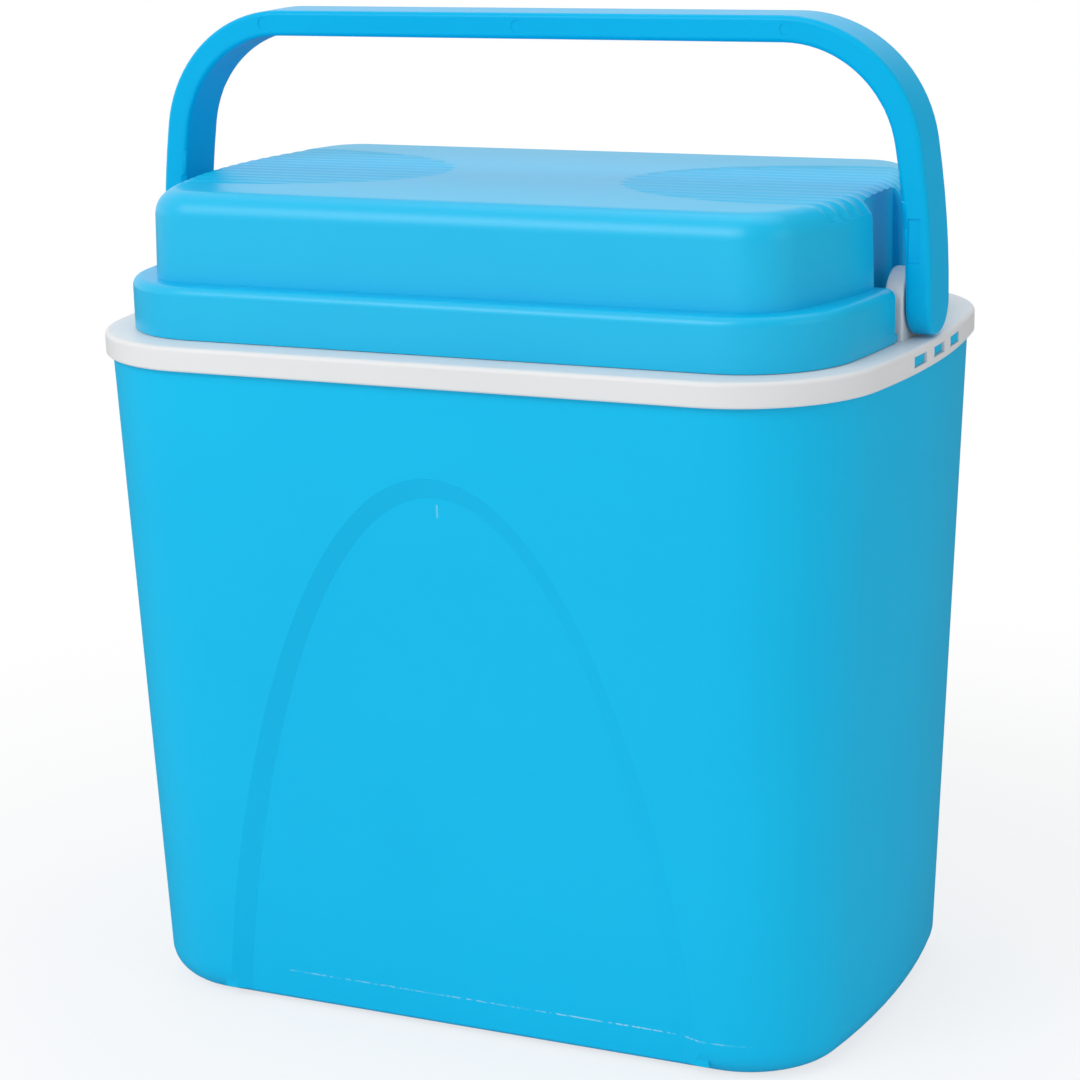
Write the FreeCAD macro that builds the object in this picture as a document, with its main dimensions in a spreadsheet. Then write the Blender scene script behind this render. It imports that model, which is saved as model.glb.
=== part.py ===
import FreeCAD, Part
import math
import os
import re
import Sketcher

os.makedirs("parts", exist_ok=True)
doc = FreeCAD.newDocument("CoolerChest")
Vector = FreeCAD.Vector

# Driving sizes in millimetres and degrees.
# X runs along the chest, Y from front to back, Z up from the surface it stands on.
sizes = [
    # plan of the chest, as the white rim shows it
    ("bandLength", 395), ("bandDepth", 253), ("bandCorner", 65), ("bowRadius", 470),
    ("bandBottom", 315.6), ("flangeTop", 327), ("flangeWall", 2.4), ("bandWall", 2.4),
    ("bandRound", 2.2), ("bandChamfer", 0.8),
    # outer shell
    ("shellSetback", 2.9), ("shellDraft", 2.36), ("shellWall", 2.4),
    ("shellRound", 15),
    ("archHeight", 274), ("archFoot", 5), ("archHalfWidth", 123.5), ("archShoulder", 65),
    ("archWaist", 112), ("archWaistHeight", 125), ("archDepth", 4), ("archBevel", 10),
    # insulation and liner
    ("fitGap", 0.3), ("foamSide", 15), ("foamFloor", 19), ("linerWall", 2.2), ("linerRound", 14),
    # catches on the shell and their windows in the rim
    ("catchPitch", 25.5), ("windowWidth", 15.5), ("windowHeight", 5), ("catchGap", 0.4),
    ("catchStep", 1.5),
    # ears and pivots of the handle
    ("pivotHeight", 343), ("earRadius", 15.3), ("earThick", 8.9), ("earGap", 0.6),
    ("earEdge", 1.2), ("studDiameter", 12), ("studLength", 7), ("studClearance", 0.05),
    ("studEndGap", 0.8),
    # handle
    ("handleThick", 12), ("handleWidth", 30), ("gripOverhang", 0.5), ("handleEdge", 2.5),
    ("legSlotWidth", 5.5), ("legSlotHeight", 20), ("legSlotLow", 19),
    ("legSlotDepth", 0.7),
    # lid
    ("lidSeatGap", 0.3), ("skirtEndInset", 13.7), ("skirtSideInset", 16.75),
    ("skirtCorner", 50),
    ("ledgeHeight", 351.8), ("ledgeRound", 4.5), ("ledgeWidth", 10), ("endLedgeWidth", 8.3),
    ("domeBow", 230), ("domeCorner", 28),
    ("domeTop", 393.5), ("domeRound", 12), ("domeDraft", 1.5), ("lidWall", 2.4),
    ("notchHalfWidth", 21), ("notchGap", 7.5), ("notchRound", 3), ("footReach", 5),
    ("footHeight", 3),
    # inner panel of the lid
    ("panelWall", 2.2), ("plugDepth", 20), ("plugGap", 1.5), ("plugRound", 8), ("plugCorner", 34),
]
sheet = doc.addObject("Spreadsheet::Sheet", "Sizes")
for row, (alias, value) in enumerate(sizes, start=1):
    sheet.set("A%d" % row, alias)
    sheet.set("B%d" % row, str(value))
    sheet.setAlias("B%d" % row, alias)
doc.recompute()
aliases = {alias for alias, value in sizes}

# Sizes that follow from the driving ones, as expressions on the sheet.
halfLength = "bandLength / 2"
halfDepth = "bandDepth / 2"
shellTop = "(flangeTop - flangeWall - fitGap)"
shellHalfX = "(bandLength / 2 - shellSetback)"
shellHalfY = "(bandDepth / 2 - shellSetback)"
shellCorner = "(bandCorner - shellSetback)"
foamInset = "(shellWall + fitGap)"
linerInset = "(shellWall + foamSide + 2 * fitGap)"
linerFloor = "(shellWall + foamFloor + 2 * fitGap)"
windowMiddle = "((bandBottom + flangeTop) / 2)"
legInner = "(bandLength / 2 - handleThick)"
earOuter = "(bandLength / 2 - handleThick - earGap)"
lidSeat = "(flangeTop + lidSeatGap)"
earInner = "(bandLength / 2 - handleThick - earGap - earThick)"
gripReach = "(bandDepth / 2 + gripOverhang)"
skirtHalfX = "(bandLength / 2 - skirtEndInset)"
skirtHalfY = "(bandDepth / 2 - skirtSideInset)"
domeHalfX = "(bandLength / 2 - skirtEndInset - endLedgeWidth)"
domeHalfY = "(bandDepth / 2 - skirtSideInset - ledgeWidth)"
notchFloor = "(bandLength / 2 - handleThick - earGap - earThick - notchGap)"
lidCavityX = "(%s - lidWall)" % notchFloor
plugHalfX = "(%s - lidWall - fitGap)" % notchFloor
plugHeight = "(lidSeatGap + panelWall + plugDepth)"
plugHalfY = "(bandDepth / 2 - shellSetback - shellWall - foamSide - 2 * fitGap - linerWall - plugGap)"


def size(expression):
    """Value of an expression that uses the sheet's aliases."""
    return float(sheet.evalExpression(expression))


def bind(target, path, expression):
    """Ties a property or a sketch dimension to the sheet."""
    words = re.sub(r"[A-Za-z]\w*", lambda word: "Sizes." + word.group()
                   if word.group() in aliases else word.group(), expression)
    target.setExpression(path, words)


def newBody(label):
    body = doc.addObject("PartDesign::Body", label)
    body.Label = label
    return body


def originPlane(body, role):
    return next(item for item in body.Origin.OriginFeatures if item.Role == role)


def newSketch(body, name, role, offset, tilt=0):
    """Sketch on one of the body's origin planes, moved along its normal and tilted about X."""
    sketch = body.newObject("Sketcher::SketchObject", name)
    sketch.AttachmentSupport = [(originPlane(body, role), "")]
    sketch.MapMode = "FlatFace"
    sketch.AttachmentOffset = FreeCAD.Placement(Vector(0, 0, 0), FreeCAD.Rotation(Vector(1, 0, 0), tilt))
    bind(sketch, ".AttachmentOffset.Base.z", offset)
    return sketch


def arc(x, y, radius, start, end):
    circle = Part.Circle(Vector(x, y, 0), Vector(0, 0, 1), radius)
    return Part.ArcOfCircle(circle, math.radians(start), math.radians(end))


def line(x1, y1, x2, y2):
    return Part.LineSegment(Vector(x1, y1, 0), Vector(x2, y2, 0))


def dimension(sketch, name, expression, *constraint):
    """Adds a named dimension at its present value and ties it to the sheet."""
    index = sketch.addConstraint(Sketcher.Constraint(*constraint, size(expression)))
    sketch.renameConstraint(index, name)
    bind(sketch, "Constraints." + name, expression)


def planSketch(body, name, height, halfX, halfY, corner, endBow="bowRadius"):
    """Plan outline of the chest: straight long sides, bowed ends and round corners."""
    sketch = newSketch(body, name, "XY_Plane", height)
    x, y, radius, bow = size(halfX), size(halfY), size(corner), size(endBow)
    endX = x - bow
    cornerY = y - radius
    cornerX = endX + math.sqrt((bow - radius) ** 2 - cornerY ** 2)
    turn = math.degrees(math.atan2(cornerY, cornerX - endX))
    sketch.addGeometry([
        line(-cornerX, -y, cornerX, -y),
        arc(cornerX, -cornerY, radius, -90, -turn),
        arc(endX, 0, bow, -turn, turn),
        arc(cornerX, cornerY, radius, turn, 90),
        line(cornerX, y, -cornerX, y),
        arc(-cornerX, cornerY, radius, 90, 180 - turn),
        arc(-endX, 0, bow, 180 - turn, 180 + turn),
        arc(-cornerX, -cornerY, radius, 180 + turn, 270),
    ], False)
    for index in range(8):
        sketch.addConstraint(Sketcher.Constraint("Tangent", index, 2, (index + 1) % 8, 1))
    sketch.addConstraint([
        Sketcher.Constraint("Horizontal", 0),
        Sketcher.Constraint("Horizontal", 4),
        Sketcher.Constraint("PointOnObject", 2, 3, -1),
        Sketcher.Constraint("PointOnObject", 6, 3, -1),
        Sketcher.Constraint("Equal", 1, 3),
        Sketcher.Constraint("Equal", 3, 5),
        Sketcher.Constraint("Equal", 5, 7),
        Sketcher.Constraint("Equal", 2, 6),
    ])
    dimension(sketch, "corner", corner, "Radius", 1)
    dimension(sketch, "bow", endBow, "Radius", 2)
    dimension(sketch, "front", halfY, "DistanceY", 0, 1, -1, 1)
    dimension(sketch, "back", halfY, "DistanceY", -1, 1, 4, 1)
    dimension(sketch, "right", endBow + " - " + halfX, "DistanceX", 2, 3, -1, 1)
    dimension(sketch, "left", endBow + " - " + halfX, "DistanceX", -1, 1, 6, 3)
    return sketch


def extrude(body, kind, name, sketch, length, draft="0", reverse=False, midplane=False):
    """Pad or Pocket of a sketch, with an inward draft along its way."""
    feature = body.newObject("PartDesign::" + kind, name)
    feature.Profile = sketch
    feature.Reversed = reverse
    feature.Midplane = midplane
    bind(feature, "Length", length)
    if draft != "0":
        bind(feature, "TaperAngle", "-(" + draft + ")")
    doc.recompute()
    return feature


def mirror(body, name, role, features):
    """Repeats features on the other side of an origin plane."""
    feature = body.newObject("PartDesign::Mirrored", name)
    feature.Originals = features
    feature.MirrorPlane = (originPlane(body, role), [""])
    body.Tip = feature
    doc.recompute()
    return feature


def flatOutline(height):
    """Test for the outer edges of every face that lies flat at this height."""
    def wanted(shape):
        level = size(height)
        faces = [face for face in shape.Faces
                 if max(abs(face.BoundBox.ZMin - level), abs(face.BoundBox.ZMax - level)) < 0.01]
        return [edge for face in faces for edge in face.OuterWire.Edges]
    return wanted


def dressEdges(body, kind, name, amount, wanted):
    """Fillet or Chamfer on the edges that the test picks from the body's shape."""
    doc.recompute()
    base = body.Tip
    chosen = wanted(base.Shape)
    names = ["Edge%d" % (index + 1) for index, edge in enumerate(base.Shape.Edges)
             if any(edge.isSame(other) for other in chosen)]
    feature = body.newObject("PartDesign::" + kind, name)
    feature.Base = (base, names)
    bind(feature, "Radius" if kind == "Fillet" else "Size", amount)
    doc.recompute()
    return feature


def archSketch(body, name, depth, growth, foot):
    """Arch outline on a plane parallel to the drafted front wall, this deep inside it."""
    footHalfDepth = shellHalfY + " - " + shellTop + " * tan(shellDraft)"
    offset = "(" + footHalfDepth + " - (" + depth + "))"
    sketch = newSketch(body, name, "XZ_Plane", offset, size("shellDraft"))
    grown = size(growth)
    half = size("archHalfWidth") + grown
    waist = size("archWaist") + grown
    shoulder = size("archShoulder") + 0.6 * grown
    top = size("archHeight") + grown
    waistHeight = size("archWaistHeight")
    low = size("archFoot")
    poles = [(half, low), (waist, waistHeight), (shoulder, top), (0, top),
             (-shoulder, top), (-waist, waistHeight), (-half, low)]
    curve = Part.BSplineCurve()
    curve.buildFromPolesMultsKnots([Vector(x, y, 0) for x, y in poles], [4, 3, 4], [0, 1, 2], False, 3)
    bottom = size(foot)
    corners = [(-half, low), (-half, bottom), (half, bottom), (half, low)]
    if bottom == low:
        corners = [(-half, low), (half, low)]
    sides = [line(*start, *end) for start, end in zip(corners, corners[1:])]
    sketch.addGeometry([curve] + sides, False)
    sketch.addConstraint(Sketcher.Constraint("Block", 0))
    count = len(sides) + 1
    for index in range(count):
        sketch.addConstraint(Sketcher.Constraint("Coincident", index, 2, (index + 1) % count, 1))
    if bottom < low:
        sketch.addConstraint(Sketcher.Constraint("Vertical", 3))
        sketch.addConstraint(Sketcher.Constraint("Horizontal", 2))
        dimension(sketch, "foot", "archFoot - (" + foot + ")", "DistanceY", 3, 1, 3, 2)
    return sketch


def archLoft(body, kind, name, outer, inner, skin, foot):
    """Arch with sloping sides between two depths; skin is the wall that lies over the arch."""
    slope = "(archBevel / archDepth)"
    shift = "((" + skin + ") * sqrt(1 + 1 / " + slope + "^2))"
    sketches = [archSketch(body, name + place, depth, slope + " * (" + shift + " - (" + depth + "))", foot)
                for place, depth in (("Outer", outer), ("Inner", inner))]
    loft = body.newObject("PartDesign::" + kind + "Loft", name)
    loft.Profile = sketches[0]
    loft.Sections = [sketches[1]]
    loft.Ruled = True
    doc.recompute()
    return mirror(body, name + "Back", "XZ_Plane", [loft])


def boxSketch(body, name, role, offset, corners):
    """Rectangles, each given by the expressions of its low and high corner."""
    sketch = newSketch(body, name, role, offset)
    for number, (lowX, lowY, highX, highY) in enumerate(corners):
        x1, y1, x2, y2 = size(lowX), size(lowY), size(highX), size(highY)
        first = 4 * number
        sketch.addGeometry([line(x1, y1, x2, y1), line(x2, y1, x2, y2),
                            line(x2, y2, x1, y2), line(x1, y2, x1, y1)], False)
        for side in range(4):
            sketch.addConstraint(Sketcher.Constraint(
                "Coincident", first + side, 2, first + (side + 1) % 4, 1))
            turn = "Horizontal" if side % 2 == 0 else "Vertical"
            sketch.addConstraint(Sketcher.Constraint(turn, first + side))
        label = "box%d" % number
        dimension(sketch, label + "Left", lowX, "DistanceX", -1, 1, first, 1)
        dimension(sketch, label + "Low", lowY, "DistanceY", -1, 1, first, 1)
        dimension(sketch, label + "Right", highX, "DistanceX", -1, 1, first + 1, 2)
        dimension(sketch, label + "High", highY, "DistanceY", -1, 1, first + 1, 2)
    return sketch


def circleSketch(body, name, offset, height, diameter):
    """Circle that faces along X on the pivot line."""
    sketch = newSketch(body, name, "YZ_Plane", offset)
    sketch.addGeometry(Part.Circle(Vector(0, size(height), 0), Vector(0, 0, 1), size(diameter) / 2), False)
    sketch.addConstraint(Sketcher.Constraint("PointOnObject", 0, 3, -2))
    dimension(sketch, "height", height, "DistanceY", -1, 1, 0, 3)
    dimension(sketch, "diameter", diameter, "Diameter", 0)
    return sketch


def catchBoxes(gap):
    """Low and high corners of the three catches of one end, narrowed by a gap all round."""
    halfWidth = "windowWidth / 2 - " + gap
    halfHeight = "windowHeight / 2 - " + gap
    return [("%d * catchPitch - (%s)" % (place, halfWidth), windowMiddle + " - (" + halfHeight + ")",
             "%d * catchPitch + (%s)" % (place, halfWidth), windowMiddle + " + (" + halfHeight + ")")
            for place in (-1, 0, 1)]


def inset(expression, amount):
    return "(" + expression + " - (" + amount + "))"


def outerShell():
    """Blue tub with a drafted wall, an arch pressed into front and back, and catches for the rim."""
    body = newBody("outer_shell")
    outline = planSketch(body, "ShellOutline", shellTop, shellHalfX, shellHalfY, shellCorner)
    extrude(body, "Pad", "ShellBlock", outline, shellTop, "shellDraft", reverse=True)
    hollow = planSketch(body, "ShellHollow", shellTop, inset(shellHalfX, "shellWall"),
                        inset(shellHalfY, "shellWall"), inset(shellCorner, "shellWall"))
    extrude(body, "Pocket", "ShellCavity", hollow, shellTop + " - shellWall", "shellDraft")
    dressEdges(body, "Fillet", "CavityRound", "shellRound - shellWall",
               flatOutline("shellWall"))
    dressEdges(body, "Fillet", "FootRound", "shellRound", flatOutline("0"))
    archLoft(body, "Additive", "ArchBack", "shellWall / 2", "archDepth + shellWall", "shellWall", "archFoot")
    archLoft(body, "Subtractive", "Arch", "-1", "archDepth", "0", "-shellRound")
    catches = boxSketch(body, "CatchOutline", "YZ_Plane", halfLength + " - bandWall - catchStep",
                        catchBoxes("catchGap"))
    pad = extrude(body, "Pad", "Catches", catches, "bandWall")
    mirror(body, "CatchesLeft", "YZ_Plane", [pad])
    return body


def bodyInsulation():
    """Foam block between the shell and the liner."""
    body = newBody("body_insulation")
    outline = planSketch(body, "FoamOutline", shellTop, inset(shellHalfX, foamInset),
                         inset(shellHalfY, foamInset), inset(shellCorner, foamInset))
    extrude(body, "Pad", "FoamBlock", outline, inset(shellTop, foamInset), "shellDraft", reverse=True)
    gapInset = inset(linerInset, "fitGap")
    hollow = planSketch(body, "FoamHollow", shellTop, inset(shellHalfX, gapInset),
                        inset(shellHalfY, gapInset), inset(shellCorner, gapInset))
    extrude(body, "Pocket", "FoamCavity", hollow, shellTop + " - (" + linerFloor + " - fitGap)", "shellDraft")
    dressEdges(body, "Fillet", "CavityRound", "linerRound + linerWall",
               flatOutline(linerFloor + " - fitGap"))
    dressEdges(body, "Fillet", "FootRound", "shellRound - shellWall",
               flatOutline(foamInset))
    archLoft(body, "Subtractive", "ArchRelief", "shellWall / 2", "archDepth + " + foamInset,
             foamInset, "0")
    return body


def innerLiner():
    """White liner, moulded in one with the rim band, its windows, the ears and the pivot studs."""
    body = newBody("inner_liner")
    rim = planSketch(body, "RimOutline", "bandBottom", halfLength, halfDepth, "bandCorner")
    extrude(body, "Pad", "Rim", rim, "flangeTop - bandBottom")
    under = planSketch(body, "RimUnderside", "flangeTop - flangeWall", inset(halfLength, "bandWall"),
                       inset(halfDepth, "bandWall"), inset("bandCorner", "bandWall"))
    extrude(body, "Pocket", "RimHollow", under, "flangeTop - bandBottom - flangeWall")
    tub = planSketch(body, "TubOutline", "flangeTop", inset(shellHalfX, linerInset),
                     inset(shellHalfY, linerInset), inset(shellCorner, linerInset))
    extrude(body, "Pad", "Tub", tub, "flangeTop - " + linerFloor, "shellDraft", reverse=True)
    insideInset = "(" + linerInset + " + linerWall)"
    inside = planSketch(body, "TubHollow", "flangeTop", inset(shellHalfX, insideInset),
                        inset(shellHalfY, insideInset), inset(shellCorner, insideInset))
    extrude(body, "Pocket", "TubCavity", inside, "flangeTop - " + linerFloor + " - linerWall", "shellDraft")
    dressEdges(body, "Fillet", "TubRound", "linerRound",
               flatOutline(linerFloor + " + linerWall"))
    dressEdges(body, "Fillet", "TubFoot", "linerRound + linerWall",
               flatOutline(linerFloor))
    dressEdges(body, "Fillet", "RimRound", "bandRound",
               flatOutline("flangeTop"))
    dressEdges(body, "Chamfer", "RimChamfer", "bandChamfer",
               flatOutline("bandBottom"))
    windows = boxSketch(body, "WindowOutline", "YZ_Plane", halfLength + " + 1", catchBoxes("0"))
    cut = extrude(body, "Pocket", "Windows", windows, "1 + 2 * bandWall")
    mirror(body, "WindowsLeft", "YZ_Plane", [cut])
    ear = earSketch(body)
    plate = extrude(body, "Pad", "Ear", ear, "earThick")
    stud = circleSketch(body, "StudOutline", earOuter, "pivotHeight", "studDiameter")
    pin = extrude(body, "Pad", "Stud", stud, "studLength")
    mirror(body, "EarsLeft", "YZ_Plane", [plate, pin])
    dressEdges(body, "Fillet", "EarEdges", "earEdge", earTops)
    return body


def earSketch(body):
    """Upright ear: straight sides and a half round top about the pivot."""
    sketch = newSketch(body, "EarOutline", "YZ_Plane", earInner)
    radius, height, foot = size("earRadius"), size("pivotHeight"), size("flangeTop - flangeWall / 2")
    sketch.addGeometry([
        line(-radius, height, -radius, foot),
        line(-radius, foot, radius, foot),
        line(radius, foot, radius, height),
        arc(0, height, radius, 0, 180),
    ], False)
    sketch.addConstraint([
        Sketcher.Constraint("Coincident", 0, 2, 1, 1),
        Sketcher.Constraint("Coincident", 1, 2, 2, 1),
        Sketcher.Constraint("Tangent", 2, 2, 3, 1),
        Sketcher.Constraint("Tangent", 3, 2, 0, 1),
        Sketcher.Constraint("Horizontal", 1),
        Sketcher.Constraint("Vertical", 0),
        Sketcher.Constraint("PointOnObject", 3, 3, -2),
    ])
    dimension(sketch, "radius", "earRadius", "Radius", 3)
    dimension(sketch, "pivot", "pivotHeight", "DistanceY", -1, 1, 3, 3)
    dimension(sketch, "foot", "flangeTop - flangeWall / 2", "DistanceY", -1, 1, 1, 1)
    return sketch


def earTops(shape):
    """Outlines of the ears above the flange, on their faces across X."""
    chosen = []
    for edge in shape.Edges:
        box = edge.BoundBox
        onFace = any(abs(abs(box.XMin) - size(face)) < 0.01 for face in (earInner, earOuter))
        outline = max(box.YLength, box.ZLength) > size("studDiameter") + 1
        if box.XLength < 0.01 and onFace and outline and box.ZMax > size("flangeTop") + 1:
            chosen.append(edge)
    return chosen


def lidShell():
    """Blue lid: a skirt that stands on the rim and a dome above it, notched for the ears."""
    body = newBody("lid_shell")
    skirt = planSketch(body, "SkirtOutline", lidSeat, skirtHalfX, skirtHalfY, "skirtCorner")
    extrude(body, "Pad", "Skirt", skirt, "ledgeHeight - " + lidSeat)
    dome = planSketch(body, "DomeOutline", "ledgeHeight", domeHalfX, domeHalfY, "domeCorner",
                      "domeBow")
    extrude(body, "Pad", "Dome", dome, "domeTop - ledgeHeight", "domeDraft")
    under = planSketch(body, "SkirtHollow", lidSeat, inset(skirtHalfX, "lidWall"),
                       inset(skirtHalfY, "lidWall"), inset("skirtCorner", "lidWall"))
    extrude(body, "Pocket", "SkirtCavity", under, "ledgeHeight - lidWall - " + lidSeat, reverse=True)
    inside = planSketch(body, "DomeHollow", "ledgeHeight - lidWall", inset(domeHalfX, "lidWall"),
                        inset(domeHalfY, "lidWall"), inset("domeCorner", "lidWall"),
                        inset("domeBow", "lidWall"))
    extrude(body, "Pocket", "DomeCavity", inside, "domeTop - ledgeHeight", "domeDraft", reverse=True)
    dressEdges(body, "Fillet", "CavityRound", "domeRound - lidWall",
               flatOutline("domeTop - lidWall"))
    dressEdges(body, "Fillet", "DomeRound", "domeRound", flatOutline("domeTop"))
    dressEdges(body, "Fillet", "LedgeRound", "ledgeRound", flatOutline("ledgeHeight"))
    wall = boxSketch(body, "NotchWallOutline", "XY_Plane", lidSeat,
                     [(lidCavityX, "-(notchHalfWidth + lidWall)", inset(skirtHalfX, "lidWall / 2"),
                       "notchHalfWidth + lidWall")])
    block = extrude(body, "Pad", "NotchWall", wall, "ledgeHeight - lidWall / 2 - " + lidSeat)
    mirror(body, "NotchWallLeft", "YZ_Plane", [block])
    block = extrude(body, "Pad", "RecessWall", recessSketch(body), "2 * (notchHalfWidth + lidWall)",
                    midplane=True)
    mirror(body, "RecessWallLeft", "YZ_Plane", [block])
    notch = boxSketch(body, "NotchOutline", "XY_Plane", lidSeat,
                      [(notchFloor, "-notchHalfWidth", skirtHalfX + " + lidWall", "notchHalfWidth")])
    cut = extrude(body, "Pocket", "Notch", notch, "domeTop - " + lidSeat, reverse=True)
    mirror(body, "NotchLeft", "YZ_Plane", [cut])
    dressEdges(body, "Fillet", "NotchRound", "notchRound", recessEdges)
    feet = boxSketch(body, "FeetOutline", "XY_Plane", lidSeat,
                     [(inset(skirtHalfX, "lidWall + 1"), low, inset(skirtHalfX, "1"), high)
                      for low, high in (("-(notchHalfWidth + lidWall / 2)", "-(notchHalfWidth - footReach)"),
                                        ("notchHalfWidth - footReach", "notchHalfWidth + lidWall / 2"))])
    tabs = extrude(body, "Pad", "Feet", feet, "footHeight")
    mirror(body, "FeetLeft", "YZ_Plane", [tabs])
    return body


def recessSketch(body):
    """Profile along X of the wall behind a notch in the dome, under the dome's rounding."""
    sketch = newSketch(body, "RecessWallOutline", "XZ_Plane", "0")
    low = "(ledgeHeight - lidWall)"
    level = "(domeTop - domeRound)"
    radius = "(domeRound - 0.8 * lidWall)"
    centre = "(" + domeHalfX + " - (domeTop - ledgeHeight) * tan(domeDraft) - domeRound)"
    x1, z1, z2, r, cx = size(lidCavityX), size(low), size(level), size(radius), size(centre)
    rise = math.degrees(math.acos((x1 - cx) / r))
    top = z2 + r * math.sin(math.radians(rise))
    sketch.addGeometry([line(x1, z1, cx + r, z1), line(cx + r, z1, cx + r, z2),
                        arc(cx, z2, r, 0, rise), line(x1, top, x1, z1)], False)
    for first, start, second, end in ((0, 2, 1, 1), (2, 2, 3, 1), (3, 2, 0, 1)):
        sketch.addConstraint(Sketcher.Constraint("Coincident", first, start, second, end))
    sketch.addConstraint([Sketcher.Constraint("Tangent", 1, 2, 2, 1),
                          Sketcher.Constraint("Horizontal", 0), Sketcher.Constraint("Vertical", 1),
                          Sketcher.Constraint("Vertical", 3)])
    dimension(sketch, "wall", lidCavityX, "DistanceX", -1, 1, 0, 1)
    dimension(sketch, "low", low, "DistanceY", -1, 1, 0, 1)
    dimension(sketch, "level", level, "DistanceY", -1, 1, 1, 2)
    dimension(sketch, "radius", radius, "Radius", 2)
    dimension(sketch, "centre", centre, "DistanceX", -1, 1, 2, 3)
    return sketch


def recessEdges(shape):
    """Edges where the notches' side walls meet the dome's ends and their rounding."""
    side, low, top = size("notchHalfWidth"), size("ledgeHeight"), size("domeTop")
    chosen = []
    for edge in shape.Edges:
        box = edge.BoundBox
        onSide = abs(abs(box.YMin) - side) < 0.01 and box.YLength < 0.01
        outside = min(abs(box.XMin), abs(box.XMax)) > size(notchFloor) - 0.01 and box.XLength < 9
        if onSide and outside and box.ZMin > low - 0.01 and box.ZLength > 5:
            middle = edge.valueAt((edge.FirstParameter + edge.LastParameter) / 2)
            if abs(middle.x) > size(notchFloor) + 0.5:
                chosen.append(edge)
    return chosen


def lidInnerPanel():
    """White panel that closes the lid from below, with a plug that enters the liner."""
    body = newBody("lid_inner_panel")
    rimX = inset(skirtHalfX, "lidWall + fitGap")
    rimY = inset(skirtHalfY, "lidWall + fitGap")
    rim = planSketch(body, "PanelOutline", lidSeat, rimX, rimY, inset("skirtCorner", "lidWall + fitGap"))
    extrude(body, "Pad", "Panel", rim, "panelWall")
    plug = planSketch(body, "PlugOutline", lidSeat + " + panelWall", plugHalfX, plugHalfY,
                      "plugCorner")
    extrude(body, "Pad", "Plug", plug, plugHeight, "domeDraft", reverse=True)
    hollow = planSketch(body, "PlugHollow", lidSeat + " + panelWall", inset(plugHalfX, "panelWall"),
                        inset(plugHalfY, "panelWall"), inset("plugCorner", "panelWall"))
    extrude(body, "Pocket", "PlugCavity", hollow, plugHeight + " - panelWall", "domeDraft")
    dressEdges(body, "Fillet", "PlugCavityRound", "plugRound - panelWall",
               flatOutline("flangeTop - plugDepth + panelWall"))
    dressEdges(body, "Fillet", "PlugRound", "plugRound", flatOutline("flangeTop - plugDepth"))
    notchCut(body, lidSeat, "panelWall")
    return body


def notchCut(body, low, height):
    """Clears the walls of the lid's two notches."""
    clear = "(notchHalfWidth + lidWall + fitGap)"
    outline = boxSketch(body, "NotchClearance", "XY_Plane", low,
                        [(plugHalfX, "-" + clear, skirtHalfX, clear)])
    cut = extrude(body, "Pocket", "NotchRelief", outline, height, reverse=True)
    mirror(body, "NotchReliefLeft", "YZ_Plane", [cut])


def lidInsulation():
    """Foam that fills the lid between its shell and its inner panel."""
    body = newBody("lid_insulation")
    low = "(flangeTop - plugDepth + panelWall + fitGap)"
    ledge = "(ledgeHeight - lidWall - fitGap)"
    seat = "(" + lidSeat + " + panelWall + fitGap)"
    skirtInset = "lidWall + fitGap"
    dome = planSketch(body, "DomeFoamOutline", ledge, inset(domeHalfX, skirtInset),
                      inset(domeHalfY, skirtInset), inset("domeCorner", skirtInset),
                      inset("domeBow", skirtInset))
    extrude(body, "Pad", "DomeFoam", dome, "domeTop - lidWall - fitGap - " + ledge, "domeDraft")
    dressEdges(body, "Fillet", "DomeFoamRound", "domeRound - lidWall",
               flatOutline("domeTop - lidWall - fitGap"))
    skirt = planSketch(body, "SkirtFoamOutline", seat, inset(skirtHalfX, skirtInset),
                       inset(skirtHalfY, skirtInset), inset("skirtCorner", skirtInset))
    extrude(body, "Pad", "SkirtFoam", skirt, ledge + " - " + seat)
    plugInset = "panelWall + fitGap"
    plug = planSketch(body, "PlugFoamOutline", seat, inset(plugHalfX, plugInset),
                      inset(plugHalfY, plugInset), inset("plugCorner", plugInset))
    extrude(body, "Pad", "PlugFoam", plug, seat + " - " + low, "domeDraft", reverse=True)
    dressEdges(body, "Fillet", "PlugFoamRound", "plugRound - panelWall", flatOutline(low))
    notchCut(body, seat, "domeTop - " + seat)
    return body


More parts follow.
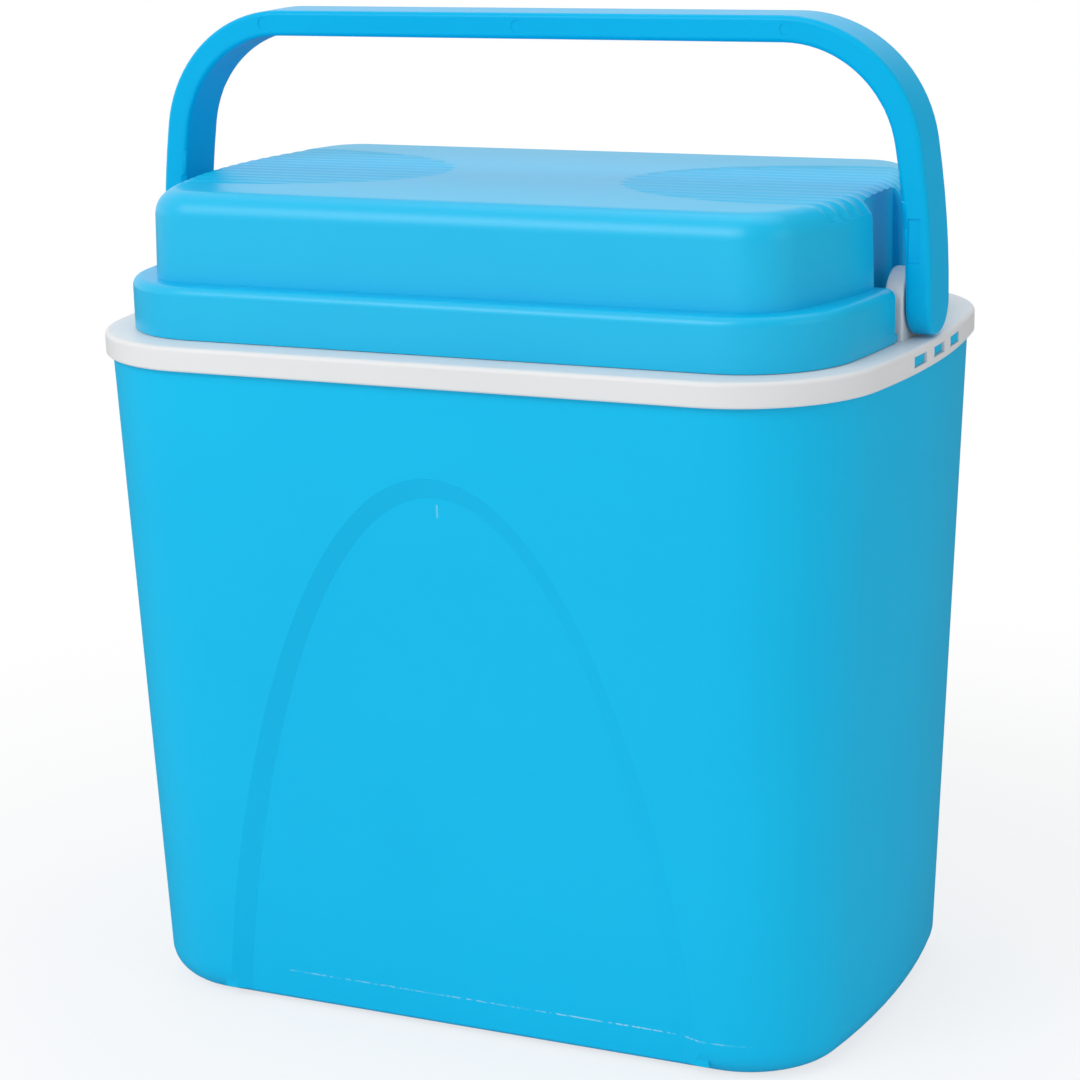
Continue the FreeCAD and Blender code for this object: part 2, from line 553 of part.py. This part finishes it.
def handleSketch(body):
    """Handle's arch: it follows the rim's outline, so it can lie on the rim when it is folded."""
    sketch = newSketch(body, "HandleOutline", "XZ_Plane", "0")
    bow, corner, thick = size("bowRadius"), size("bandCorner"), size("handleThick")
    pivot, reach, end = size("pivotHeight"), size(gripReach), size("handleWidth / 2")
    centreX = size(halfLength) - bow
    cornerZ = reach - corner
    cornerX = centreX + math.sqrt((bow - corner) ** 2 - cornerZ ** 2)
    turn = math.degrees(math.atan2(cornerZ, cornerX - centreX))
    outerFoot = math.degrees(math.asin(end / bow))
    innerFoot = math.degrees(math.asin(end / (bow - thick)))
    outerX = centreX + math.sqrt(bow ** 2 - end ** 2)
    innerX = centreX + math.sqrt((bow - thick) ** 2 - end ** 2)
    top, low = pivot + reach, pivot - end
    sketch.addGeometry([
        arc(centreX, pivot, bow, -outerFoot, turn),
        arc(cornerX, pivot + cornerZ, corner, turn, 90),
        line(cornerX, top, -cornerX, top),
        arc(-cornerX, pivot + cornerZ, corner, 90, 180 - turn),
        arc(-centreX, pivot, bow, 180 - turn, 180 + outerFoot),
        line(-outerX, low, -innerX, low),
        arc(-centreX, pivot, bow - thick, 180 - turn, 180 + innerFoot),
        arc(-cornerX, pivot + cornerZ, corner - thick, 90, 180 - turn),
        line(-cornerX, top - thick, cornerX, top - thick),
        arc(cornerX, pivot + cornerZ, corner - thick, turn, 90),
        arc(centreX, pivot, bow - thick, -innerFoot, turn),
        line(innerX, low, outerX, low),
    ], False)
    for first, firstEnd, second, secondEnd in (
            (0, 2, 1, 1), (1, 2, 2, 1), (2, 2, 3, 1), (3, 2, 4, 1),
            (6, 1, 7, 2), (7, 1, 8, 1), (8, 2, 9, 2), (9, 1, 10, 2)):
        sketch.addConstraint(Sketcher.Constraint("Tangent", first, firstEnd, second, secondEnd))
    for first, firstEnd, second, secondEnd in (
            (4, 2, 5, 1), (5, 2, 6, 2), (10, 1, 11, 1), (11, 2, 0, 1),
            (0, 3, 10, 3), (1, 3, 9, 3), (3, 3, 7, 3), (4, 3, 6, 3)):
        sketch.addConstraint(Sketcher.Constraint("Coincident", first, firstEnd, second, secondEnd))
    for level in (2, 8, 5, 11):
        sketch.addConstraint(Sketcher.Constraint("Horizontal", level))
    sketch.addConstraint([
        Sketcher.Constraint("Equal", 0, 4),
        Sketcher.Constraint("Equal", 1, 3),
        Sketcher.Constraint("Symmetric", 4, 3, 0, 3, -2),
    ])
    dimension(sketch, "bow", "bowRadius", "Radius", 0)
    dimension(sketch, "corner", "bandCorner", "Radius", 1)
    dimension(sketch, "side", "bowRadius - " + halfLength, "DistanceX", 0, 3, -1, 1)
    dimension(sketch, "pivot", "pivotHeight", "DistanceY", -1, 1, 0, 3)
    dimension(sketch, "top", "pivotHeight + " + gripReach, "DistanceY", -1, 1, 2, 1)
    dimension(sketch, "thick", "handleThick", "DistanceY", 8, 1, 2, 1)
    dimension(sketch, "leftFoot", "pivotHeight - handleWidth / 2", "DistanceY", -1, 1, 5, 1)
    dimension(sketch, "rightFoot", "pivotHeight - handleWidth / 2", "DistanceY", -1, 1, 11, 1)
    return sketch


def legFeet(shape):
    """The four edges that close the legs' lower ends at front and back."""
    low, side = size("pivotHeight - handleWidth / 2"), size("handleWidth / 2")
    return [edge for edge in shape.Edges
            if abs(edge.BoundBox.ZMax - low) < 0.01 and abs(abs(edge.BoundBox.YMax) - side) < 0.01
            and edge.BoundBox.YLength < 0.01]


def handleOutlines(shape):
    """Every edge of the front and the back face."""
    side = size("handleWidth / 2")
    faces = [face for face in shape.Faces
             if face.BoundBox.YLength < 0.01 and abs(abs(face.BoundBox.YMax) - side) < 0.01]
    return [edge for face in faces for edge in face.OuterWire.Edges]


def handle():
    """Carrying handle, one moulding with a blind bore in each leg."""
    body = newBody("handle")
    outline = handleSketch(body)
    extrude(body, "Pad", "Arch", outline, "handleWidth", midplane=True)
    dressEdges(body, "Fillet", "LegEnds", "handleWidth * 0.495", legFeet)
    dressEdges(body, "Fillet", "Edges", "handleEdge", handleOutlines)
    bore = circleSketch(body, "BoreOutline", earOuter, "pivotHeight", "studDiameter + 2 * studClearance")
    hole = extrude(body, "Pocket", "Bore", bore, "studLength + studEndGap", reverse=True)
    mirror(body, "BoreLeft", "YZ_Plane", [hole])
    slotLow = "(pivotHeight + legSlotLow)"
    slotX = "(" + legInner + " + handleEdge / 2)"
    slot = boxSketch(body, "SlotOutline", "XZ_Plane", "handleWidth / 2",
                     [(slotX, slotLow, slotX + " + legSlotWidth", slotLow + " + legSlotHeight")])
    recess = extrude(body, "Pocket", "Slot", slot, "legSlotDepth")
    mirror(body, "SlotLeft", "YZ_Plane", [recess])
    return body


bodies = [outerShell(), bodyInsulation(), innerLiner(), lidShell(), lidInsulation(),
          lidInnerPanel(), handle()]
doc.recompute()

for item in doc.Objects:
    if "Invalid" in item.State or "Error" in item.State:
        raise RuntimeError("%s failed to build: %s" % (item.Label, item.State))
for body in bodies:
    shape = body.Shape
    if shape.isNull() or not shape.isValid() or len(shape.Solids) != 1:
        raise RuntimeError("%s is not one valid solid" % body.Label)
    shape.exportStep("parts/%s.step" % body.Label)
    box = shape.BoundBox
    print("%-18s %8.1f cm3  %.1f x %.1f x %.1f mm" % (
        body.Label, shape.Volume / 1000, box.XLength, box.YLength, box.ZLength))
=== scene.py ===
import math

import bpy
from mathutils import Matrix, Vector


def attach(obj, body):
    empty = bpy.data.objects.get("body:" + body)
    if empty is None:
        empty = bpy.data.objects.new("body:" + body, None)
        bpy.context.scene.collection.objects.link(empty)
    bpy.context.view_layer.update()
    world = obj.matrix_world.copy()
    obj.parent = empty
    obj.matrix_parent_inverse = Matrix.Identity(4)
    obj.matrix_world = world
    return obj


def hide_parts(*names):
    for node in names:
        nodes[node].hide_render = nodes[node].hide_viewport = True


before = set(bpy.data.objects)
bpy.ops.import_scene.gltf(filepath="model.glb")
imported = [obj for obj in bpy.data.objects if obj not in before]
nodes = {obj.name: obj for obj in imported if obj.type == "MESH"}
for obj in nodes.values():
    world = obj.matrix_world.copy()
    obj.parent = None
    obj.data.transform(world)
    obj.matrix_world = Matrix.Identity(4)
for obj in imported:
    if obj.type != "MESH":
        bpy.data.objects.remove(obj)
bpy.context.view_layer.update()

print("frame loaded:", ", ".join(sorted(nodes)))


def mm(*values):
    return tuple(value / 1000 for value in values)


def selectOnly(*objs):
    if bpy.context.mode != "OBJECT":
        bpy.ops.object.mode_set(mode="OBJECT")
    bpy.ops.object.select_all(action="DESELECT")
    for obj in objs:
        obj.select_set(True)
    bpy.context.view_layer.objects.active = objs[0]


def selectFaces(obj, wanted):
    # leaves the object in edit mode with only the wanted faces selected
    selectOnly(obj)
    bpy.ops.object.mode_set(mode="EDIT")
    bpy.ops.mesh.select_mode(type="FACE")
    bpy.ops.mesh.select_all(action="DESELECT")
    bpy.ops.object.mode_set(mode="OBJECT")
    for face in obj.data.polygons:
        face.select = wanted(face)
    bpy.ops.object.mode_set(mode="EDIT")


def settle(obj):
    # the place goes into the mesh, as for every finished piece
    selectOnly(obj)
    bpy.ops.object.transform_apply(location=True, rotation=True, scale=True)


def solidCopy(node, name):
    # closed copy of a solid's mesh, whose triangles are merged first
    obj = node.copy()
    obj.data = node.data.copy()
    obj.name = obj.data.name = name
    obj.parent = None
    obj.matrix_world = Matrix.Identity(4)
    bpy.context.scene.collection.objects.link(obj)
    selectOnly(obj)
    bpy.ops.mesh.customdata_custom_splitnormals_clear()
    bpy.ops.object.mode_set(mode="EDIT")
    bpy.ops.mesh.select_all(action="SELECT")
    bpy.ops.mesh.remove_doubles(threshold=0.000001)
    bpy.ops.object.mode_set(mode="OBJECT")
    return obj


def carve(obj, tool, operation="DIFFERENCE"):
    # uses the tool up
    cut = obj.modifiers.new("carve", "BOOLEAN")
    cut.operation = operation
    cut.solver = "MANIFOLD"
    cut.object = tool
    selectOnly(obj)
    bpy.ops.object.modifier_apply(modifier=cut.name)
    bpy.data.objects.remove(tool)


def smoothOver(obj, degrees):
    # smooth shading that stays sharp at edges steeper than this
    selectOnly(obj)
    bpy.ops.object.shade_smooth_by_angle(angle=math.radians(degrees), keep_sharp_edges=False)
    weigh = obj.modifiers.new("weigh", "WEIGHTED_NORMAL")
    weigh.keep_sharp = True
    weigh.weight = 80
    bpy.ops.object.modifier_apply(modifier=weigh.name)


# the lid: its dome carries a fluted field at each end of the top
lid = {
    "top": 393.5,           # height of the dome's flat top
    "endRound": 12,         # rounding of its edge
    "endMiddle": 162.4,     # where that rounding starts, on the middle line
    "endBow": 230,          # bow of the dome's ends, seen from above
    "pitch": 9,             # one flute
    "flutes": 14,
    "fluteRound": 16.9,
    "fluteFloor": 0.75,     # deepest line of a flute
    "fluteSides": 128,
    "fluteLead": 8,         # a flute starts this far outside its field
    "runOff": 30,           # straight length past the bend
    "fieldMiddle": 160,
    "fieldLength": 115,
    "fieldWidth": 65,
    "fieldDepth": 8,
    "fieldEdge": 1.5,       # depth of the leaning part of the field's side
    "fieldAbove": 6,
    "fieldReach": 40,       # straight length past the oval's middle
    "fieldLean": 3.2,       # run-out of the field's edge, for each mm of depth
    "wrap": 58,             # degrees that a flute follows the rounding
    "wrapSteps": 12,
    "sharpAbove": 22,       # degrees
}


def addFlute(number):
    # one round bar, bent over the dome's end: what it meets becomes a flute
    across = (number - lid["flutes"] / 2 + 0.5) * lid["pitch"]
    bend = lid["endMiddle"] - across ** 2 / (2 * lid["endBow"])
    low = lid["top"] - lid["fluteFloor"]
    start = lid["fieldMiddle"] - lid["fieldLength"] - lid["fluteLead"]
    bpy.ops.mesh.primitive_cylinder_add(
        vertices=lid["fluteSides"], radius=lid["fluteRound"] / 1000, depth=(bend - start) / 1000,
        location=mm((bend + start) / 2, across, low + lid["fluteRound"]),
        rotation=(0, math.pi / 2, 0))
    bar = bpy.context.active_object
    settle(bar)
    selectFaces(bar, lambda face: face.normal.x > 0.9)
    slope = math.radians(lid["wrap"])
    bpy.ops.mesh.spin(steps=lid["wrapSteps"], angle=-slope, axis=(0, 1, 0),
                      center=mm(bend, across, lid["top"] - lid["endRound"]))
    bpy.ops.mesh.extrude_region_move(TRANSFORM_OT_translate={
        "value": mm(lid["runOff"] * math.cos(slope), 0, -lid["runOff"] * math.sin(slope))})
    bpy.ops.object.mode_set(mode="OBJECT")
    return bar


def addField():
    # oval block that bounds a field, straight on over the dome's end; its side
    # leans out at the top, so that the flutes run out softly
    low, high = -lid["fieldEdge"], lid["fieldAbove"]
    lean = lid["fieldLean"] / lid["fieldWidth"]
    bpy.ops.mesh.primitive_cone_add(
        vertices=lid["fluteSides"], radius1=0.001 * (1 + lean * low),
        radius2=0.001 * (1 + lean * high), depth=(high - low) / 1000,
        location=mm(lid["fieldMiddle"], 0, lid["top"] + (high + low) / 2))
    field = bpy.context.active_object
    field.scale = (lid["fieldLength"], lid["fieldWidth"], 1)
    settle(field)
    selectFaces(field, lambda face: face.normal.z < -0.999)
    bpy.ops.mesh.extrude_region_move(TRANSFORM_OT_translate={
        "value": mm(0, 0, -lid["fieldDepth"] - low)})
    bpy.ops.mesh.select_all(action="SELECT")
    bpy.ops.mesh.bisect(plane_co=mm(lid["fieldMiddle"], 0, 0), plane_no=(1, 0, 0),
                        clear_outer=True, use_fill=True)
    bpy.ops.object.mode_set(mode="OBJECT")
    selectFaces(field, lambda face: face.normal.x > 0.999)
    bpy.ops.mesh.extrude_region_move(TRANSFORM_OT_translate={
        "value": mm(lid["fieldReach"], 0, 0)})
    bpy.ops.object.mode_set(mode="OBJECT")
    return field


def otherEnd(obj):
    # half a turn about the middle, since the field is the same on both sides of it
    twin = obj.copy()
    twin.data = obj.data.copy()
    bpy.context.scene.collection.objects.link(twin)
    twin.rotation_euler = (0, 0, math.pi)
    settle(twin)
    return twin


def makeLid():
    shell = solidCopy(nodes["lid_shell"], "flutedLid")
    bars = addFlute(0)
    for number in range(1, lid["flutes"]):
        carve(bars, addFlute(number), "UNION")
    carve(bars, addField(), "INTERSECT")
    carve(shell, otherEnd(bars))
    carve(shell, bars)
    smoothOver(shell, lid["sharpAbove"])
    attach(shell, "lid")
    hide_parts("lid_shell")
    return shell


flutedLid = makeLid()
print("lid with its flutes ready,", len(flutedLid.data.polygons), "faces")


# the handle: a flat strap with the round marks that the mould leaves on its grip
handle = {
    "faceY": -15,
    "markHeight": 464,
    "markPlaces": (-135, -1, 130),
    "markSize": 6,
    "markDepth": 0.3,
    "markEdge": 0.1,
    "pinLength": 2,
    "pinSides": 40,
    "sharpAbove": 30,       # degrees
}


def makeHandle():
    strap = solidCopy(nodes["handle"], "strapHandle")
    middle = handle["faceY"] + handle["markDepth"] - handle["pinLength"] / 2
    for place in handle["markPlaces"]:
        bpy.ops.mesh.primitive_cylinder_add(
            vertices=handle["pinSides"], radius=handle["markSize"] / 2000,
            depth=handle["pinLength"] / 1000,
            location=mm(place, middle, handle["markHeight"]), rotation=(math.pi / 2, 0, 0))
        pin = bpy.context.active_object
        settle(pin)
        bpy.ops.object.mode_set(mode="EDIT")
        bpy.ops.mesh.select_all(action="SELECT")
        bpy.ops.mesh.bevel(offset=handle["markEdge"] / 1000, segments=1)
        bpy.ops.object.mode_set(mode="OBJECT")
        carve(strap, pin)
    smoothOver(strap, handle["sharpAbove"])
    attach(strap, "carry_handle")
    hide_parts("handle")
    return strap


strapHandle = makeHandle()
print("handle ready,", len(strapHandle.data.polygons), "faces")


def newMaterial(name):
    mat = bpy.data.materials.new(name)
    mat.use_nodes = True
    return mat, mat.node_tree, mat.node_tree.nodes["Principled BSDF"]


def addNode(tree, kind, **sockets):
    node = tree.nodes.new(kind)
    for name, value in sockets.items():
        node.inputs[name.replace("_", " ")].default_value = value
    return node


def addMath(tree, operation, first, second=None, third=None):
    # arithmetic on sockets or plain numbers
    node = tree.nodes.new("ShaderNodeMath")
    node.operation = operation
    for index, value in enumerate((first, second, third)):
        if value is None:
            continue
        if isinstance(value, (int, float)):
            node.inputs[index].default_value = value
        else:
            tree.links.new(value, node.inputs[index])
    return node.outputs[0]


def addRamp(tree, value, start, end, low=0.0, high=1.0, curve="LINEAR"):
    # brings a value that runs from start to end to low to high
    node = tree.nodes.new("ShaderNodeMapRange")
    node.interpolation_type = curve
    for name, number in (("From Min", start), ("From Max", end),
                         ("To Min", low), ("To Max", high)):
        node.inputs[name].default_value = number
    tree.links.new(value, node.inputs["Value"])
    return node.outputs["Result"]


def addBlend(tree, share, first, second):
    node = tree.nodes.new("ShaderNodeMixShader")
    tree.links.new(share, node.inputs["Fac"])
    tree.links.new(first, node.inputs[1])
    tree.links.new(second, node.inputs[2])
    return node.outputs[0]


def addNoise(tree, place, scale, detail):
    node = addNode(tree, "ShaderNodeTexNoise", Scale=scale, Detail=detail)
    tree.links.new(place.outputs["Object"], node.inputs["Vector"])
    return node.outputs["Fac"]


def paint(obj, mat):
    for slot in obj.material_slots:
        slot.material = mat
    if not obj.material_slots:
        obj.data.materials.append(mat)


shellPlastic = {
    "shade": (0.0, 0.53, 0.885, 1),
    "otherShade": (0.0, 0.55, 0.905, 1),
    "roughness": 0.42,
    "shine": 0.2,
    "grain": 0.05,
    "grainScale": 1400,
}
lidPlastic = {
    "shade": (0.0, 0.51, 0.85, 1),
    "otherShade": (0.0, 0.535, 0.87, 1),
    "roughness": 0.36,
    "shine": 0.45,
    "grain": 0.05,
    "grainScale": 1400,
}
handlePlastic = {
    "shade": (0.0, 0.475, 0.85, 1),
    "otherShade": (0.0, 0.495, 0.87, 1),
    "roughness": 0.3,
    "shine": 0.1,
    "grain": 0.03,
    "grainScale": 1400,
}
whitePlastic = {
    "shade": (0.80, 0.81, 0.82, 1),
    "otherShade": (0.84, 0.845, 0.85, 1),
    "roughness": 0.42,
    "shine": 0.4,
    "grain": 0.05,
    "grainScale": 1400,
}
foamBlock = {
    "shade": (0.86, 0.86, 0.83, 1),
    "otherShade": (0.93, 0.93, 0.91, 1),
    "roughness": 0.8,
    "shine": 0.3,
    "grain": 0.5,
    "grainScale": 260,
}
drift = {                   # what all the plastics share
    "scale": 6,
    "shadeFrom": 0.35,
    "shadeTo": 0.65,
    "glossSpread": 0.05,
    "grainDepth": 0.0002,
}


def mouldedPlastic(name, look):
    # satin moulded plastic: slow drift of shade and gloss, and fine grain
    mat, tree, shader = newMaterial(name)
    shader.inputs["Specular IOR Level"].default_value = look["shine"]
    place = addNode(tree, "ShaderNodeTexCoord")
    slow = addNoise(tree, place, drift["scale"], 3)
    shades = addNode(tree, "ShaderNodeValToRGB")
    first, last = shades.color_ramp.elements
    first.position, first.color = drift["shadeFrom"], look["shade"]
    last.position, last.color = drift["shadeTo"], look["otherShade"]
    tree.links.new(slow, shades.inputs["Fac"])
    tree.links.new(shades.outputs["Color"], shader.inputs["Base Color"])
    gloss = addRamp(tree, slow, 0, 1, look["roughness"] - drift["glossSpread"],
                    look["roughness"] + drift["glossSpread"])
    tree.links.new(gloss, shader.inputs["Roughness"])
    bump = addNode(tree, "ShaderNodeBump", Strength=look["grain"], Distance=drift["grainDepth"])
    tree.links.new(addNoise(tree, place, look["grainScale"], 2), bump.inputs["Height"])
    tree.links.new(bump.outputs["Normal"], shader.inputs["Normal"])
    return mat


# pale marks that the mould leaves on the tub's front, in metres
flash = {
    "tint": (0.45, 0.78, 0.92, 1),
    "frontOf": -0.09,
    "lineHeight": 0.0180,   # broken line of the mould's parting
    "lineLeft": -0.092,
    "lineRight": 0.147,
    "lineHalf": 0.00035,
    "wobble": 0.0012,
    "wobbleScale": 60,
    "faint": (0.4, 0.62, 0.1, 0.7),
    "crumbScale": 420,      # breaks the line up
    "crumbs": (0.42, 0.55),
    "gatePlace": 0.001,     # short upright mark of the gate, high in the arch
    "gateBottom": 0.2547,
    "gateTop": 0.2608,
    "gateHalf": 0.0004,
    "gateShare": 0.35,
}


def addFlash(mat):
    tree = mat.node_tree
    shader = tree.nodes["Principled BSDF"]
    before = shader.inputs["Base Color"].links[0].from_socket
    place = addNode(tree, "ShaderNodeTexCoord")
    apart = addNode(tree, "ShaderNodeSeparateXYZ")
    tree.links.new(place.outputs["Object"], apart.inputs["Vector"])
    x, y, z = apart.outputs
    front = addMath(tree, "LESS_THAN", y, flash["frontOf"])
    waves = addNoise(tree, place, flash["wobbleScale"], 3)
    bend = addMath(tree, "MULTIPLY_ADD", waves, flash["wobble"],
                   flash["lineHeight"] - flash["wobble"] / 2)
    near = addMath(tree, "COMPARE", z, bend, flash["lineHalf"])
    reach = addMath(tree, "MULTIPLY", addMath(tree, "GREATER_THAN", x, flash["lineLeft"]),
                    addMath(tree, "LESS_THAN", x, flash["lineRight"]))
    torn = addRamp(tree, addNoise(tree, place, flash["crumbScale"], 1), *flash["crumbs"])
    reach = addMath(tree, "MULTIPLY", reach, torn)
    faint = addRamp(tree, waves, *flash["faint"])
    line = addMath(tree, "MULTIPLY", addMath(tree, "MULTIPLY", near, front),
                   addMath(tree, "MULTIPLY", reach, faint))
    gate = addMath(tree, "MULTIPLY",
                   addMath(tree, "COMPARE", x, flash["gatePlace"], flash["gateHalf"]),
                   addMath(tree, "COMPARE", z, (flash["gateBottom"] + flash["gateTop"]) / 2,
                           (flash["gateTop"] - flash["gateBottom"]) / 2))
    gate = addMath(tree, "MULTIPLY", addMath(tree, "MULTIPLY", gate, front), flash["gateShare"])
    pale = addNode(tree, "ShaderNodeMix")
    pale.data_type = "RGBA"
    pale.inputs[7].default_value = flash["tint"]
    tree.links.new(addMath(tree, "MAXIMUM", line, gate), pale.inputs[0])
    tree.links.new(before, pale.inputs[6])
    tree.links.new(pale.outputs[2], shader.inputs["Base Color"])


shellMat = mouldedPlastic("blueShellPlastic", shellPlastic)
addFlash(shellMat)
paint(nodes["outer_shell"], shellMat)
lidMat = mouldedPlastic("blueLidPlastic", lidPlastic)
paint(flutedLid, lidMat)
paint(nodes["lid_shell"], lidMat)
handleMat = mouldedPlastic("blueHandlePlastic", handlePlastic)
paint(strapHandle, handleMat)
paint(nodes["handle"], handleMat)
whiteMat = mouldedPlastic("whiteRimPlastic", whitePlastic)
for name in ("inner_liner", "lid_inner_panel"):
    paint(nodes[name], whiteMat)
foamMat = mouldedPlastic("foamBeads", foamBlock)
for name in ("body_insulation", "lid_insulation"):
    paint(nodes[name], foamMat)
print("plastics ready")


stage = {
    "floorSize": 6.0,
    "floorDrop": 0.0005,
    "floorShade": (0.94, 0.94, 0.94, 1),
    "floorRoughness": 0.9,
    "fadeFrom": 0.22,       # the floor turns to white between these distances
    "fadeTo": 0.75,
    "fadeStart": 0.72,      # share of white right under the chest
    "tableEdge": 1.15,      # the floor mirrors bright in front of this
    "tableBlur": 0.35,
    "tableMirror": 0.12,
    "skyStrength": 0.55,
    "rightMirror": 0.05,    # the room mirrors dark on the right and white elsewhere
    "rightFrom": -0.05,
    "rightTo": 0.3,
    "lamps": (              # name, place, aim, width, height, watts
        ("keyLamp", (-0.9, -2.2, 2.1), (0, 0, 0.25), 1.8, 1.4, 32),
        ("topLamp", (0.1, 0.5, 2.2), (0, 0, 0.3), 2.0, 1.6, 9),
        ("sideLamp", (2.3, -0.4, 1.0), (0, 0, 0.25), 1.6, 1.4, 4),
    ),
    "cameraPlace": (0.58721, -1.28642, 0.58346),
    "yaw": 26.461,
    "pitch": 15.241,
    "roll": -1.775,
    "lens": 99.99,
    "sensor": 36,
    "shift": (0.0860, 0.0345),
}


def addFloor():
    bpy.ops.mesh.primitive_plane_add(
        size=stage["floorSize"], location=(0, 0, -stage["floorDrop"]))
    floor = bpy.context.active_object
    floor.name = "floor"
    settle(floor)
    mat, tree, shader = newMaterial("paleFloor")
    shader.inputs["Base Color"].default_value = stage["floorShade"]
    shader.inputs["Roughness"].default_value = stage["floorRoughness"]
    place = addNode(tree, "ShaderNodeTexCoord")
    rays = addNode(tree, "ShaderNodeLightPath")
    # the camera sees it fade to white away from the chest
    distance = addNode(tree, "ShaderNodeVectorMath")
    distance.operation = "LENGTH"
    tree.links.new(place.outputs["Object"], distance.inputs[0])
    fade = addRamp(tree, distance.outputs["Value"], stage["fadeFrom"], stage["fadeTo"],
                   stage["fadeStart"], 1, "SMOOTHSTEP")
    share = addMath(tree, "MULTIPLY", rays.outputs["Is Camera Ray"], fade)
    glow = addNode(tree, "ShaderNodeEmission", Strength=1.0)
    seen = addBlend(tree, share, shader.outputs[0], glow.outputs[0])
    # the table mirrors dimly, and the room in front of it mirrors bright
    apart = addNode(tree, "ShaderNodeSeparateXYZ")
    tree.links.new(place.outputs["Object"], apart.inputs["Vector"])
    mirror = addNode(tree, "ShaderNodeEmission")
    tree.links.new(addRamp(tree, apart.outputs["Y"], -stage["tableEdge"],
                           -stage["tableEdge"] - stage["tableBlur"],
                           stage["tableMirror"], 1, "SMOOTHSTEP"), mirror.inputs["Strength"])
    tree.links.new(addBlend(tree, rays.outputs["Is Glossy Ray"], seen, mirror.outputs[0]),
                   tree.nodes["Material Output"].inputs["Surface"])
    paint(floor, mat)


def addSky():
    world = bpy.data.worlds.new("studio")
    bpy.context.scene.world = world
    world.use_nodes = True
    tree = world.node_tree
    white = (1, 1, 1, 1)
    soft = tree.nodes["Background"]
    soft.inputs["Color"].default_value = white
    soft.inputs["Strength"].default_value = stage["skyStrength"]
    backdrop = addNode(tree, "ShaderNodeBackground", Color=white, Strength=1.0)
    rays = addNode(tree, "ShaderNodeLightPath")
    place = addNode(tree, "ShaderNodeTexCoord")
    apart = addNode(tree, "ShaderNodeSeparateXYZ")
    tree.links.new(place.outputs["Generated"], apart.inputs["Vector"])
    mirror = addNode(tree, "ShaderNodeBackground", Color=white)
    tree.links.new(addRamp(tree, apart.outputs["X"], stage["rightFrom"], stage["rightTo"],
                           1, stage["rightMirror"], "SMOOTHSTEP"), mirror.inputs["Strength"])
    glossy = addBlend(tree, rays.outputs["Is Glossy Ray"], soft.outputs[0], mirror.outputs[0])
    tree.links.new(addBlend(tree, rays.outputs["Is Camera Ray"], glossy, backdrop.outputs[0]),
                   tree.nodes["World Output"].inputs["Surface"])


def addLamp(name, place, aim, width, height, watts):
    data = bpy.data.lights.new(name, "AREA")
    data.shape = "RECTANGLE"
    data.size, data.size_y, data.energy = width, height, watts
    lamp = bpy.data.objects.new(name, data)
    bpy.context.scene.collection.objects.link(lamp)
    lamp.location = place
    lamp.rotation_euler = (Vector(aim) - Vector(place)).to_track_quat("-Z", "Y").to_euler()


def addCamera():
    yaw, pitch, roll = (math.radians(stage[turn]) for turn in ("yaw", "pitch", "roll"))
    forward = Vector((-math.sin(yaw) * math.cos(pitch), math.cos(yaw) * math.cos(pitch),
                      -math.sin(pitch)))
    level = Vector((math.cos(yaw), math.sin(yaw), 0))
    above = level.cross(forward)
    right = math.cos(roll) * level + math.sin(roll) * above
    up = -math.sin(roll) * level + math.cos(roll) * above
    data = bpy.data.cameras.new("camera")
    data.lens = stage["lens"]
    data.sensor_width = stage["sensor"]
    data.shift_x, data.shift_y = stage["shift"]
    data.clip_start, data.clip_end = 0.05, 30
    camera = bpy.data.objects.new("camera", data)
    bpy.context.scene.collection.objects.link(camera)
    camera.matrix_world = Matrix((
        (right.x, up.x, -forward.x, stage["cameraPlace"][0]),
        (right.y, up.y, -forward.y, stage["cameraPlace"][1]),
        (right.z, up.z, -forward.z, stage["cameraPlace"][2]),
        (0, 0, 0, 1)))
    bpy.context.scene.camera = camera


addFloor()
addSky()
for lamp in stage["lamps"]:
    addLamp(*lamp)
addCamera()
bpy.context.scene.view_settings.view_transform = "Standard"
print("stage, lamps and camera ready")
